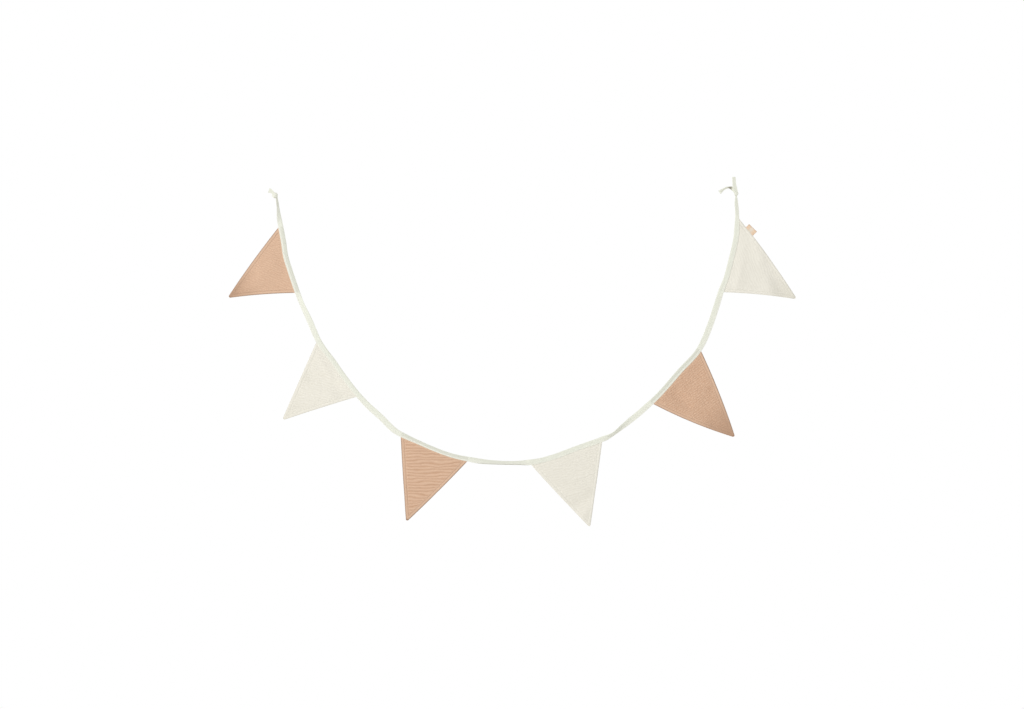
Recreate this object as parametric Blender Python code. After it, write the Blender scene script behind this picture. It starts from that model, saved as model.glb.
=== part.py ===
"""Fabric bunting: six muslin pennants along one folded bias tape that is tied at both ends.

The bunting hangs in the XZ plane with its front towards -Y and +Z up.  The origin is halfway
between the two knots.  Lengths are millimetres until MM turns them to metres.
"""

import math

import bmesh
import bpy
import numpy as np

MM = 0.001

# Gap that is kept between two pieces that touch
GAP = 0.3

# Folded bias tape
TAPE_STEP = 14.0
TAPE_OUTER = 6.8
TAPE_THICK = 2.2
TAPE_THICK_OVER_FLAG = 4.8
TAPE_RISE = 9.0
TAPE_FULL_PAST_FLAG = 3.0
TAPE_GATHERED = 0.55
TAPE_GATHER_RUN = 15.0
TAPE_DIRECTION_REACH = 6.0

# Slot between the tape's two legs, measured from the tape's middle line
SLOT_TOP = -2.5
SLOT_WIDTH = 2.0

# Muslin flags: two layers, with the seam allowance inside their sloping sides
FLAG_TOP = SLOT_TOP + GAP
FLAG_THICK = 2.0
FLAG_THICK_IN_TAPE = 1.4
FLAG_THICK_EDGE = 1.1
FLAG_THICK_ROLL = 2.8
FLAG_THICK_STITCH = 1.5
FLAG_ROLL = 3.0
FLAG_SEAM = 7.5
FLAG_SWELL = 3.0
FLAG_TIP_RADIUS = 3.6
FLAG_HEAD = 8.0
FLAG_COLUMN = 27.0
FLAG_FOLDS_BELOW = 25.0
SIDE_STEPS = 7
TIP_STEPS = 3
HEAD_STEP = 14.0
CUT_SNAP = 0.3

# Crinkle of washed muslin: a ridge and a trough in each pitch
CRINKLE_PITCH = 5.8
CRINKLE_HEIGHT = 0.55
CRINKLE_AT_SEAM = 0.45
CRINKLE_UNEVEN = 0.7
CRINKLE_SHALLOWER = 0.22
CRINKLE_WANDER = 0.9
CRINKLE_WAVE = 14.0
CRINKLE_EASE = 4.0

# Ribbon label, caught in the side seam of one flag
LABEL_FLAG = "flag_6"
LABEL_FOOT = (584.4, -91.0)
LABEL_TURN = -44.5
LABEL_LENGTH = 26.0
LABEL_SEWN_IN = 5.0
LABEL_THICK = 1.0
LABEL_PADDING = 0.6
LABEL_PADDING_EASE = 6.0
LABEL_POCKET_RUNS_OUT = 6.0

# Section of the label from inside the seam to its fold: distance out of the flag, y, half thickness
LABEL_SECTION = (
    (-LABEL_SEWN_IN, 0.0, LABEL_THICK / 2),
    (0.0, 0.0, LABEL_THICK / 2),
    (7.0, -0.6, LABEL_THICK / 2),
    (11.0, -1.5, 0.8),
    (12.5, -1.5, 0.3),
)

# Tied ends
TAIL_THICK = 2.0
KNOT_BAND_THICK = 2.4
KNOT_TURNS = 14
KNOT_CORE = 0.95
KNOT_CORE_TALL = 1.3

COLOURS = {
    "tape": (0.80, 0.81, 0.70),
    "tan": (0.68, 0.45, 0.31),
    "cream": (0.83, 0.80, 0.71),
    "peach": (0.84, 0.60, 0.42),
}

# Middle line of the tape from the left knot to the right knot.
# x, z: its place; inner: from the middle line to the open edge, which faces the flags;
# roll: the tape's turn about its own length, in degrees
TAPE_COLUMNS = ("x", "z", "inner", "roll")
TAPE_ROUTE = (
    (-551, -5, 2.6, -20),
    (-551, -31, 2.0, -26),
    (-545, -58, 5.2, -16),
    (-540, -84, 5.6, 0),
    (-534, -116, 5.6, 0),
    (-529, -150, 5.6, 0),
    (-520, -180, 5.6, 0),
    (-502, -234, 5.6, 0),
    (-489, -266, 6.2, 28),
    (-471, -304, 7.3, 10),
    (-447, -358, 6.6, 0),
    (-413, -405, 5.6, 0),
    (-393, -434, 5.6, 0),
    (-360, -477, 5.8, 0),
    (-333, -506, 7.6, 0),
    (-301, -535, 7.6, 6),
    (-272, -564, 7.4, 0),
    (-250, -579, 5.6, 0),
    (-209, -599, 3.4, 0),
    (-175, -614, 3.2, 0),
    (-134, -629, 3.2, 0),
    (-95, -637.5, 4.6, 0),
    (-55, -642.5, 7.0, -40),
    (-13, -645.5, 6.4, -54),
    (30, -646, 6.4, -50),
    (61, -644.5, 6.6, -8),
    (88, -640, 5.6, 0),
    (125, -629, 5.6, 0),
    (164, -614, 5.6, 0),
    (226, -592, 5.8, 0),
    (255, -578, 7.2, 36),
    (281, -558, 7.0, 12),
    (310, -535, 6.8, 0),
    (337, -512, 6.6, 0),
    (368, -483, 5.6, 0),
    (394, -454, 5.6, 0),
    (419, -425, 5.6, 0),
    (447, -396, 5.6, 0),
    (463, -376, 6.0, 0),
    (477, -348, 7.6, 4),
    (494, -304, 7.6, 0),
    (508, -261, 7.4, 4),
    (518, -231, 6.4, 0),
    (529, -204, 5.6, 0),
    (537, -175, 5.6, 0),
    (551, -117, 5.6, 0),
    (555, -84, 5.6, 0),
    (556, -48, 3.4, -15),
    (553, -1, 2.6, -30),
)

# Tape section from the fold to the open edge.
# across: share of the width; plain, over_flag: half thickness as a share of the thickness there
SECTION = (
    (0.00, 0.15, 0.10),
    (0.13, 0.42, 0.27),
    (0.50, 0.50, 0.46),
    (0.82, 0.37, 0.43),
    (1.00, 0.45, 0.48),
)

# Flags from left to right.  Each sloping side is a curve through its corner, middle and the tip.
# grain: direction of the crinkle from +X, in degrees; lift: how far the tip stands forward
FLAG_COLUMNS = ("name", "cloth", "corner_a", "middle_a", "tip", "middle_b", "corner_b", "grain", "lift")
FLAGS = (
    ("flag_1", "tan", (-548, -82), (-602, -155), (-664, -248), (-574, -241), (-501, -236), -21, 5),
    ("flag_2", "cream", (-454, -357), (-491, -438), (-534, -541), (-435, -511), (-356, -485), -17, -4),
    ("flag_3", "tan", (-253, -586), (-247, -676), (-237.5, -784), (-158, -710), (-94, -649), 0, 4),
    ("flag_4", "cream", (61, -650), (122, -718), (201, -798), (219, -685), (230, -594), 16, -5),
    ("flag_5", "tan", (356, -507), (439, -545), (547.5, -582.5), (508, -468), (470, -379), 37, 6),
    ("flag_6", "cream", (519, -235), (599, -241), (695.5, -250.5), (595.5, -105), (558, -61), -69, -4),
)

# Soft folds across the flags.
# Columns: flag, start and end of the fold's line, half its width, and how far it lies back or,
# where negative, stands out
FOLDS = (
    ("flag_1", (-655, -243), (-604, -196), 11, 2.6),
    ("flag_1", (-640, -239), (-522, -231), 9, 1.8),
    ("flag_1", (-620, -222), (-566, -176), 26, -3.0),
    ("flag_2", (-462, -424), (-384, -431), 13, 3.4),
    ("flag_2", (-512, -502), (-420, -486), 20, -2.6),
    ("flag_2", (-446, -392), (-420, -440), 9, -1.8),
    ("flag_3", (-248, -694), (-164, -688), 15, 3.8),
    ("flag_3", (-232, -640), (-130, -656), 20, -2.4),
    ("flag_3", (-236, -760), (-196, -728), 12, -1.6),
    ("flag_4", (166, -738), (222, -712), 16, 3.8),
    ("flag_4", (96, -676), (206, -664), 22, -2.6),
    ("flag_4", (186, -776), (206, -742), 9, -1.8),
    ("flag_5", (388, -462), (436, -506), 15, 3.2),
    ("flag_5", (500, -560), (541, -578), 14, 3.4),
    ("flag_5", (440, -520), (486, -446), 18, -2.4),
    ("flag_6", (600, -112), (636, -222), 16, -2.6),
    ("flag_6", (560, -122), (556, -214), 18, -2.6),
    ("flag_6", (628, -178), (668, -238), 20, 3.2),
)

# Knots.  Columns: name, centre, and the turns of the tape round it, each as half width, half depth,
# width of the band and lean in degrees
KNOTS = (
    ("left", (-553, 0, -4), ((5.4, 4.6, 7.0, 34), (5.0, 3.9, 6.6, -34))),
    ("right", (553, 0, 0), ((3.9, 3.9, 5.4, 28), (3.5, 3.3, 5.0, -38))),
)

# Free ends of the tape past the knots, from the knot to the cut end.  Columns: x, y, z, width, roll
TAILS = {
    "left_tail": (
        (-553, 0.0, -4, 7.0, 20),
        (-557, 0.0, 0, 6.5, 20),
        (-560, 0.0, 3, 7.5, 0),
        (-564, 0.0, 6, 10.0, 0),
        (-569, 0.0, 8, 12.0, 0),
    ),
    "right_tail_up": (
        (553, -1.0, 0, 8.0, 0),
        (551, -2.4, 9, 9.5, 10),
        (548.5, -2.4, 20, 9.0, 0),
        (547.5, -2.4, 30, 8.6, 0),
        (547, -2.4, 40, 8.6, 0),
    ),
    "right_tail_over": (
        (553, 1.0, 2, 8.0, 0),
        (549, 2.8, 9, 11.0, -12),
        (541, 3.2, 14, 10.0, -48),
        (532, 3.0, 15, 7.5, -66),
        (522, 2.6, 10, 7.0, -44),
        (513, 2.2, 3, 10.0, 0),
    ),
}


def clear_scene():
    for old in list(bpy.data.objects):
        bpy.data.objects.remove(old, do_unlink=True)


def cloth_material(name, colour, roughness):
    material = bpy.data.materials.new(name)
    material.use_nodes = True
    shader = material.node_tree.nodes["Principled BSDF"]
    shader.inputs["Base Color"].default_value = (*colour, 1.0)
    shader.inputs["Roughness"].default_value = roughness
    shader.inputs["Metallic"].default_value = 0.0
    return material


def add_object(name, shell, material=None):
    """Turn a closed bmesh in millimetres to an object in metres."""
    bmesh.ops.recalc_face_normals(shell, faces=shell.faces)
    bmesh.ops.scale(shell, vec=(MM, MM, MM), verts=shell.verts)
    mesh = bpy.data.meshes.new(name)
    shell.to_mesh(mesh)
    shell.free()
    piece = bpy.data.objects.new(name, mesh)
    bpy.context.scene.collection.objects.link(piece)
    if material:
        mesh.materials.append(material)
        mesh.shade_smooth()
        mesh.set_sharp_from_angle(angle=math.radians(40))
    return piece


def combine(piece, tool, operation):
    """Join a hidden tool to a piece, or cut it out."""
    tool.hide_render = True
    tool.display_type = "WIRE"
    boolean = piece.modifiers.new(tool.name, "BOOLEAN")
    boolean.object = tool
    boolean.operation = operation
    boolean.solver = "EXACT"


def ease(value):
    value = min(max(value, 0.0), 1.0)
    return value * value * (3 - 2 * value)


def unit(vector):
    return vector / np.linalg.norm(vector)


def smooth_rows(rows, per_span):
    """Catmull-Rom curve through the rows of a table, every column treated alike."""
    points = np.array(rows, dtype=float)
    points = np.vstack((2 * points[0] - points[1], points, 2 * points[-1] - points[-2]))
    dense = []
    for p0, p1, p2, p3 in zip(points, points[1:], points[2:], points[3:]):
        for step in range(per_span):
            t = step / per_span
            dense.append(0.5 * (2 * p1 + (p2 - p0) * t + (2 * p0 - 5 * p1 + 4 * p2 - p3) * t ** 2
                                + (3 * p1 - p0 - 3 * p2 + p3) * t ** 3))
    dense.append(points[-2])
    return np.array(dense)


def curve_through(start, middle, end, steps):
    """Quadratic curve from start to end that passes through the middle point."""
    start, middle, end = (np.array(p, dtype=float) for p in (start, middle, end))
    first = np.linalg.norm(middle - start)
    share = first / (first + np.linalg.norm(end - middle))
    pull = (middle - (1 - share) ** 2 * start - share ** 2 * end) / (2 * share * (1 - share))
    places = []
    for step in range(steps + 1):
        t = step / steps
        places.append((1 - t) ** 2 * start + 2 * t * (1 - t) * pull + t * t * end)
    return places


def polyline_gap(point, starts, spans):
    """Distance from a point to a polyline, with the span and the share of it that are nearest."""
    share = np.sum((point - starts) * spans, axis=1) / np.maximum(np.sum(spans ** 2, axis=1), 1e-9)
    share = np.clip(share, 0.0, 1.0)
    gaps = np.linalg.norm(starts + spans * share[:, None] - point, axis=1)
    best = int(np.argmin(gaps))
    return float(gaps[best]), best, float(share[best])


def sweep(stations):
    """Closed shell through rings of points, each ring a list of (x, y, z)."""
    shell = bmesh.new()
    rings = [[shell.verts.new(point) for point in ring] for ring in stations]
    for ring, following in zip(rings, rings[1:]):
        for i in range(len(ring)):
            j = (i + 1) % len(ring)
            shell.faces.new((ring[i], ring[j], following[j], following[i]))
    shell.faces.new(rings[0][::-1])
    shell.faces.new(rings[-1])
    return shell


class TapeLine:
    """Middle line of the tape, read by its arc length."""

    def __init__(self, route):
        self.rows = smooth_rows(route, 8)
        self.starts = self.rows[:-1, :2]
        self.spans = np.diff(self.rows[:, :2], axis=0)
        self.along = np.concatenate(([0.0], np.cumsum(np.linalg.norm(self.spans, axis=1))))
        self.length = float(self.along[-1])

    def value(self, s, column):
        return float(np.interp(s, self.along, self.rows[:, TAPE_COLUMNS.index(column)]))

    def place(self, s):
        return np.array((self.value(s, "x"), self.value(s, "z")))

    def down(self, s):
        """Unit vector in the XZ plane from the tape towards the flags."""
        after = self.place(min(s + TAPE_DIRECTION_REACH, self.length))
        ahead = unit(after - self.place(max(s - TAPE_DIRECTION_REACH, 0.0)))
        return np.array((ahead[1], -ahead[0]))

    def below(self, s, offset):
        return self.place(s) + self.down(s) * offset

    def nearest(self, point):
        _, span, share = polyline_gap(np.array(point, dtype=float), self.starts, self.spans)
        return float(self.along[span] + share * (self.along[span + 1] - self.along[span]))

    def depth_below(self, point):
        """How far a point lies below the tape's open edge, negative inside the tape."""
        s = self.nearest(point)
        return float(np.dot(np.array(point) - self.place(s), self.down(s))) - self.value(s, "inner")


class Flag:
    """Outline, folds and thickness of one flag."""

    def __init__(self, row, line):
        for column, value in zip(FLAG_COLUMNS, row):
            setattr(self, column, value)
        self.line = line
        self.start = line.nearest(self.corner_a)
        self.end = line.nearest(self.corner_b)
        tip = np.array(self.tip, dtype=float)
        way_a = unit(np.array(self.middle_a) - tip)
        way_b = unit(np.array(self.middle_b) - tip)
        self.inward = unit(way_a + way_b)
        self.sine = math.sin(0.5 * math.acos(float(np.dot(way_a, way_b))))
        self.tip_centre = tip + self.inward * FLAG_TIP_RADIUS
        self.sharp_tip = self.tip_centre - self.inward * FLAG_TIP_RADIUS / self.sine
        self.height = float(np.linalg.norm(tip - 0.5 * (line.place(self.start) + line.place(self.end))))
        edge = np.array(self.side("a", 0.0) + self.side("b", 0.0)[::-1])
        self.edge_starts = edge[:-1]
        self.edge_spans = np.diff(edge, axis=0)
        self.folds = [fold[1:] for fold in FOLDS if fold[0] == self.name]

    def into(self, side):
        """Unit vector into the flag, square to one sloping side."""
        corner = self.corner_a if side == "a" else self.corner_b
        along = unit(np.array(self.tip, dtype=float) - np.array(corner))
        square = np.array((along[1], -along[0]))
        return square if np.dot(square, self.inward) > 0 else -square

    def head(self, s):
        """Place just below the tape's open edge."""
        return self.line.below(s, self.line.value(s, "inner") + GAP)

    def head_station(self, side, inset):
        """Arc length where the line that lies inset from a side meets the tape."""
        step = 0.2 if side == "a" else -0.2
        corner = self.start if side == "a" else self.end
        s = corner
        while np.dot(self.head(s) - self.head(corner), self.into(side)) < inset:
            s += step
        return s

    def side(self, side, inset):
        """Points from the tape to the tip, on the curve that lies inset from one sloping side."""
        start = self.head(self.head_station(side, inset))
        middle = np.array(self.middle_a if side == "a" else self.middle_b) + self.into(side) * inset
        end = self.sharp_tip + self.inward * inset / self.sine
        if inset == 0.0:
            end = self.tip_centre - self.into(side) * FLAG_TIP_RADIUS
        return curve_through(start, middle, end, SIDE_STEPS)

    def from_edge(self, point):
        return polyline_gap(point, self.edge_starts, self.edge_spans)[0]

    def label_padding(self, point, inset):
        """Extra half thickness where the label is sewn in."""
        if self.name != LABEL_FLAG:
            return 0.0
        turn = math.radians(LABEL_TURN)
        along = abs(np.dot(point - np.array(LABEL_FOOT), (math.cos(turn), math.sin(turn))))
        beside = ease((LABEL_LENGTH / 2 - along) / LABEL_PADDING_EASE + 1)
        return LABEL_PADDING * beside * ease((FLAG_SEAM - inset) / LABEL_PADDING_EASE + 0.7)

    def half_thickness(self, point):
        inset = self.from_edge(point)
        half = 0.5 * float(np.interp(
            inset,
            (0.0, FLAG_ROLL, FLAG_SEAM, FLAG_SEAM + FLAG_SWELL),
            (FLAG_THICK_EDGE, FLAG_THICK_ROLL, FLAG_THICK_STITCH, FLAG_THICK)))
        half += self.label_padding(point, inset)
        clear = ease((self.line.depth_below(point) - 2 * GAP) / FLAG_SWELL)
        return clear * half + (1 - clear) * 0.5 * FLAG_THICK_IN_TAPE

    def drape(self, point):
        """How far the flag's middle lies back from the plane of the tape."""
        below = max(self.line.depth_below(point) - GAP, 0.0)
        back = -self.lift * (below / self.height) ** 2
        for start, end, reach, sink in self.folds:
            start = np.array([start], dtype=float)
            gap = polyline_gap(point, start, np.array([end]) - start)[0]
            back += sink * math.exp(-(gap / reach) ** 2) * ease(below / FLAG_FOLDS_BELOW)
        return back


def crinkle_lines(flag, field_points):
    """Places and heights of the ridges and troughs, measured square to the grain."""
    turn = math.radians(flag.grain)
    square = np.array((-math.sin(turn), math.cos(turn)))
    reach = [float(np.dot(point, square)) for point in field_points]
    half = CRINKLE_PITCH / 2
    count = range(math.ceil(min(reach) / half), math.floor(max(reach) / half) + 1)
    places = [k * half + CRINKLE_UNEVEN * math.sin(1.9 * k) for k in count]
    full = [1 - CRINKLE_SHALLOWER * (1 - math.sin(0.83 * k)) for k in count]
    heights = [CRINKLE_HEIGHT * (-1) ** k * share for k, share in zip(count, full)]
    return square, places, heights


def cut_field(flat, place, square):
    """Cut the flag's field, whose faces have material 1, along one straight line."""
    faces = [face for face in flat.faces if face.material_index == 1]
    edges = {edge for face in faces for edge in face.edges}
    verts = {vert for face in faces for vert in face.verts}
    bmesh.ops.bisect_plane(flat, geom=[*faces, *edges, *verts], dist=CUT_SNAP,
                           plane_co=(place[0], 0.0, place[1]), plane_no=(square[0], 0.0, square[1]))


def flat_flag(flag):
    """The flag's middle sheet, laid flat: a tab in the tape, bands along the seams, and the field."""
    flat = bmesh.new()

    def add(point):
        return flat.verts.new((point[0], 0.0, point[1]))

    rings_a = [[add(p) for p in flag.side("a", inset)] for inset in (0.0, FLAG_ROLL, FLAG_SEAM)]
    rings_b = [[add(p) for p in flag.side("b", 0.0)]]
    for ring_a, inset in zip(rings_a[1:], (FLAG_ROLL, FLAG_SEAM)):
        rings_b.append([add(p) for p in flag.side("b", inset)[:-1]] + [ring_a[-1]])
    for rings in (rings_a, rings_b):
        for outer, inner in zip(rings, rings[1:]):
            for i in range(SIDE_STEPS):
                flat.faces.new((outer[i], outer[i + 1], inner[i + 1], inner[i]))

    tip = []
    for step in range(1, TIP_STEPS):
        share = step / TIP_STEPS
        way = unit(-flag.into("a") * (1 - share) - flag.into("b") * share)
        tip.append(add(flag.tip_centre + way * FLAG_TIP_RADIUS))
    flat.faces.new([rings_a[0][-1], *tip, rings_b[0][-1], rings_a[1][-1]])

    first = [flag.head_station("a", inset) for inset in (0.0, FLAG_ROLL, FLAG_SEAM)]
    last = [flag.head_station("b", inset) for inset in (FLAG_SEAM, FLAG_ROLL, 0.0)]
    steps = round((last[0] - first[-1]) / HEAD_STEP)
    between = [first[-1] + (last[0] - first[-1]) * step / steps for step in range(1, steps)]
    middle = [add(flag.head(s)) for s in between]
    head = [ring[0] for ring in rings_a] + middle + [ring[0] for ring in reversed(rings_b)]
    tab = [add(flag.line.below(s, FLAG_TOP)) for s in first + between + last]
    for i in range(len(head) - 1):
        flat.faces.new((tab[i], tab[i + 1], head[i + 1], head[i]))

    border = [rings_a[2][0], *middle, *rings_b[2], *rings_a[2][-2:0:-1]]
    field_face = flat.faces.new(border)
    field_face.material_index = 1

    square, places, heights = crinkle_lines(flag, [(v.co.x, v.co.z) for v in border])
    chord = unit(flag.head(last[0]) - flag.head(first[-1]))
    down = np.array((chord[1], -chord[0]))
    cut_field(flat, flag.head(first[-1]) + down * FLAG_HEAD, down)
    for place in places:
        cut_field(flat, square * place, square)
    top_middle = 0.5 * (flag.head(first[-1]) + flag.head(last[0]))
    across = np.array((-flag.inward[1], flag.inward[0]))
    columns = math.floor(0.5 * (last[0] - first[-1]) / FLAG_COLUMN)
    for column in range(-columns, columns + 1):
        cut_field(flat, top_middle + across * column * FLAG_COLUMN, across)
    bmesh.ops.triangulate(flat, faces=flat.faces)
    return flat, square, places, heights


def flag_shell(flag):
    """Crinkle and fold the flat sheet, then give it its thickness."""
    flat, square, places, heights = flat_flag(flag)
    along = np.array((square[1], -square[0]))
    shell = bmesh.new()
    fronts = {}
    backs = {}
    for vert in flat.verts:
        point = np.array((vert.co.x, vert.co.z))
        inset = flag.from_edge(point)
        below = flag.line.depth_below(point)
        show = CRINKLE_AT_SEAM * ease((inset - FLAG_ROLL) / (FLAG_SEAM - FLAG_ROLL))
        show += (1 - CRINKLE_AT_SEAM) * ease((inset - FLAG_SEAM) / CRINKLE_EASE)
        show *= ease((below - 2 * GAP) / FLAG_SWELL)
        run = float(np.dot(point, along))
        across = float(np.dot(point, square))
        ridge = float(np.interp(across, places, heights))
        wave = math.sin((run + 3 * across) / CRINKLE_WAVE)
        back = flag.drape(point) + show * ridge * (1 - CRINKLE_SHALLOWER * (1 - wave))
        inside = ease((inset - FLAG_SEAM - 1) / CRINKLE_EASE) * ease((below - 2) / CRINKLE_EASE)
        point = point + square * CRINKLE_WANDER * inside * math.sin((run + across / 2) / CRINKLE_WAVE)
        half = flag.half_thickness(point)
        fronts[vert] = shell.verts.new((point[0], back - half, point[1]))
        backs[vert] = shell.verts.new((point[0], back + half, point[1]))
    for face in flat.faces:
        shell.faces.new([fronts[vert] for vert in face.verts])
        shell.faces.new([backs[vert] for vert in reversed(face.verts)])
    for edge in flat.edges:
        if edge.is_boundary:
            one, two = edge.verts
            shell.faces.new((fronts[one], fronts[two], backs[two], backs[one]))
    flat.free()
    return shell


def tape_ring(line, s, filled):
    """Section of the tape at one place: five front points and five back points, fold edge first."""
    thick = TAPE_THICK + (TAPE_THICK_OVER_FLAG - TAPE_THICK) * filled
    roll = math.radians(line.value(s, "roll") * (1 - filled))
    down = line.down(s)
    to_knot = min(s, line.length - s)
    gathered = TAPE_GATHERED + (1 - TAPE_GATHERED) * ease(to_knot / TAPE_GATHER_RUN)
    width = TAPE_OUTER + line.value(s, "inner")
    x, z = line.place(s)
    front = []
    back = []
    for across, plain, over_flag in SECTION:
        w = (across * width - TAPE_OUTER) * gathered
        half = thick * (plain + (over_flag - plain) * filled)
        for points, face in ((front, -1), (back, 1)):
            flat_w = w * math.cos(roll) - face * half * math.sin(roll)
            y = w * math.sin(roll) + face * half * math.cos(roll)
            points.append((x + down[0] * flat_w, y, z + down[1] * flat_w))
    return front + back[::-1]


def slot_ring(line, s):
    """Corners of the slot between the tape's legs: front lip, bottom front, bottom back, back lip."""
    corners = []
    for offset, face in ((line.value(s, "inner"), -1), (SLOT_TOP, -1), (SLOT_TOP, 1),
                         (line.value(s, "inner"), 1)):
        x, z = line.below(s, offset)
        corners.append((x, face * SLOT_WIDTH / 2, z))
    return corners


def tape_stations(line, flags):
    """Arc lengths along the tape, each with the word that says whether a slot starts or ends there."""
    stations = [(0.0, "plain")]
    last = 0.0
    for flag in flags:
        for stop, here in ((flag.start - GAP, "slot starts"), (flag.end + GAP, "slot ends")):
            steps = max(round((stop - last) / TAPE_STEP), 1)
            within = "slot" if here == "slot ends" else "plain"
            stations += [(last + (stop - last) * step / steps, within) for step in range(1, steps)]
            stations.append((stop, here))
            last = stop
    steps = round((line.length - last) / TAPE_STEP)
    stations += [(last + (line.length - last) * step / steps, "plain") for step in range(1, steps + 1)]
    return stations


def tape_shell(line, flags):
    """The folded tape between the knots, slit open and thicker where a flag is inside it."""
    shell = bmesh.new()
    fold_front, open_front, open_back, fold_back = 0, 4, 5, 9
    contour = [(i, i + 1) for i in range(fold_front, open_front)]
    contour += [(i, i + 1) for i in range(open_back, fold_back)] + [(fold_back, fold_front)]
    before = None
    for s, kind in tape_stations(line, flags):
        filled = 0.0
        for flag in flags:
            outside = max(flag.start - s, s - flag.end, 0.0)
            filled = max(filled, ease((TAPE_FULL_PAST_FLAG - outside) / TAPE_RISE + 1))
        ring = [shell.verts.new(point) for point in tape_ring(line, s, filled)]
        slot = []
        if kind != "plain":
            slot = [shell.verts.new(point) for point in slot_ring(line, s)]
        if before is None:
            shell.faces.new(ring[::-1])
        else:
            old_ring, old_slot, old_kind = before
            for i, j in contour:
                shell.faces.new((old_ring[i], old_ring[j], ring[j], ring[i]))
            if old_kind in ("slot starts", "slot"):
                old_path = [old_ring[open_front], *old_slot, old_ring[open_back]]
                path = [ring[open_front], *slot, ring[open_back]]
                for i in range(len(path) - 1):
                    shell.faces.new((old_path[i], old_path[i + 1], path[i + 1], path[i]))
            else:
                old_lips = [old_slot[0], old_slot[-1]] if old_kind == "slot ends" else []
                lips = [slot[-1], slot[0]] if kind == "slot starts" else []
                shell.faces.new((old_ring[open_front], *old_lips, old_ring[open_back],
                                 ring[open_back], *lips, ring[open_front]))
        if kind in ("slot starts", "slot ends"):
            shell.faces.new(slot)
        before = (ring, slot, kind)
    shell.faces.new(before[0])
    return shell


def tail_shell(rows):
    """A flat free end of the tape, swept from the knot to its cut."""
    dense = smooth_rows(rows, 3)
    stations = []
    for i, (x, y, z, width, roll) in enumerate(dense):
        ahead = dense[min(i + 1, len(dense) - 1)] - dense[max(i - 1, 0)]
        way = unit(ahead[[0, 2]])
        side = np.array((way[1], -way[0]))
        turn = math.radians(roll)
        ring = []
        for across, face in ((-0.5, 0), (-0.4, -1), (0.4, -1), (0.5, 0), (0.4, 1), (-0.4, 1)):
            w = across * width
            lift = face * TAIL_THICK / 2
            flat_w = w * math.cos(turn) - lift * math.sin(turn)
            ring.append((x + side[0] * flat_w, y + w * math.sin(turn) + lift * math.cos(turn),
                         z + side[1] * flat_w))
        stations.append(ring)
    return sweep(stations)


def wrap_shell(centre, half_width, half_depth, band, lean):
    """One turn of the tape round the knot."""
    turn = math.radians(lean)
    out = np.array((math.cos(turn), 0.0, math.sin(turn)))
    along = np.array((-math.sin(turn), 0.0, math.cos(turn)))
    depth = np.array((0.0, 1.0, 0.0))
    shell = bmesh.new()
    rings = []
    section = ((-0.5, 0.0), (-0.32, 0.5), (0.32, 0.5), (0.5, 0.0), (0.32, -0.5), (-0.32, -0.5))
    for step in range(KNOT_TURNS):
        angle = 2 * math.pi * step / KNOT_TURNS + turn / 5
        radial = out * math.cos(angle) * half_width + depth * math.sin(angle) * half_depth
        ring = []
        for across, thick in section:
            place = np.array(centre) + radial * (1 + thick * KNOT_BAND_THICK / half_depth)
            ring.append(shell.verts.new(place + along * across * band))
        rings.append(ring)
    for i, ring in enumerate(rings):
        following = rings[(i + 1) % KNOT_TURNS]
        for j in range(len(section)):
            k = (j + 1) % len(section)
            shell.faces.new((ring[j], ring[k], following[k], following[j]))
    return shell


def core_shell(centre, half_width, half_depth):
    """The crumpled tape inside the knot."""
    shell = bmesh.new()
    bmesh.ops.create_icosphere(shell, subdivisions=2, radius=1.0)
    size = (half_width * KNOT_CORE, half_depth * KNOT_CORE, half_width * KNOT_CORE_TALL)
    bmesh.ops.scale(shell, vec=size, verts=shell.verts)
    bmesh.ops.translate(shell, vec=centre, verts=shell.verts)
    return shell


def label_box(across_sides, out_and_half, flag):
    """Closed strip along the seam: out_and_half lists distance out of the flag, y and half thickness."""
    turn = math.radians(LABEL_TURN)
    along = np.array((math.cos(turn), math.sin(turn)))
    out = np.array((-along[1], along[0]))
    foot = np.array(LABEL_FOOT)
    level = flag.drape(foot)
    stations = []
    for side in across_sides:
        ring = []
        for face, rows in ((-1, out_and_half), (1, out_and_half[::-1])):
            for distance, y, half in rows:
                x, z = foot + along * side + out * distance
                ring.append((x, level + y + face * half, z))
        stations.append(ring)
    return sweep(stations)


def build():
    clear_scene()
    tape_cloth = cloth_material("plain_muslin_tape", COLOURS["tape"], 0.9)
    flag_cloths = {
        "tan": cloth_material("tan_crinkled_muslin", COLOURS["tan"], 0.95),
        "cream": cloth_material("cream_crinkled_muslin", COLOURS["cream"], 0.95),
    }
    ribbon = cloth_material("peach_ribbon", COLOURS["peach"], 0.8)

    line = TapeLine(TAPE_ROUTE)
    flags = [Flag(row, line) for row in FLAGS]

    tape = add_object("tape", tape_shell(line, flags), tape_cloth)
    for name, centre, wraps in KNOTS:
        half_width, half_depth = wraps[0][:2]
        core = add_object(name + "_knot_core", core_shell(centre, half_width, half_depth))
        combine(tape, core, "UNION")
        for wrap in wraps:
            combine(tape, add_object(name + "_knot_wrap", wrap_shell(centre, *wrap)), "UNION")
    for name, rows in TAILS.items():
        combine(tape, add_object(name, tail_shell(rows)), "UNION")

    for flag in flags:
        cloth = add_object(flag.name, flag_shell(flag), flag_cloths[flag.cloth])
        if flag.name == LABEL_FLAG:
            half = LABEL_LENGTH / 2
            add_object("label", label_box((-half, half), LABEL_SECTION, flag), ribbon)
            wide = LABEL_THICK / 2 + GAP
            pocket_section = ((-LABEL_SEWN_IN - GAP, 0.0, wide), (LABEL_POCKET_RUNS_OUT, 0.0, wide))
            pocket = label_box((-half - GAP, half + GAP), pocket_section, flag)
            combine(cloth, add_object("label_pocket", pocket), "DIFFERENCE")


build()
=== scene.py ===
import math

import bpy
import numpy as np
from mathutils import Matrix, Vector, noise


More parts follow.
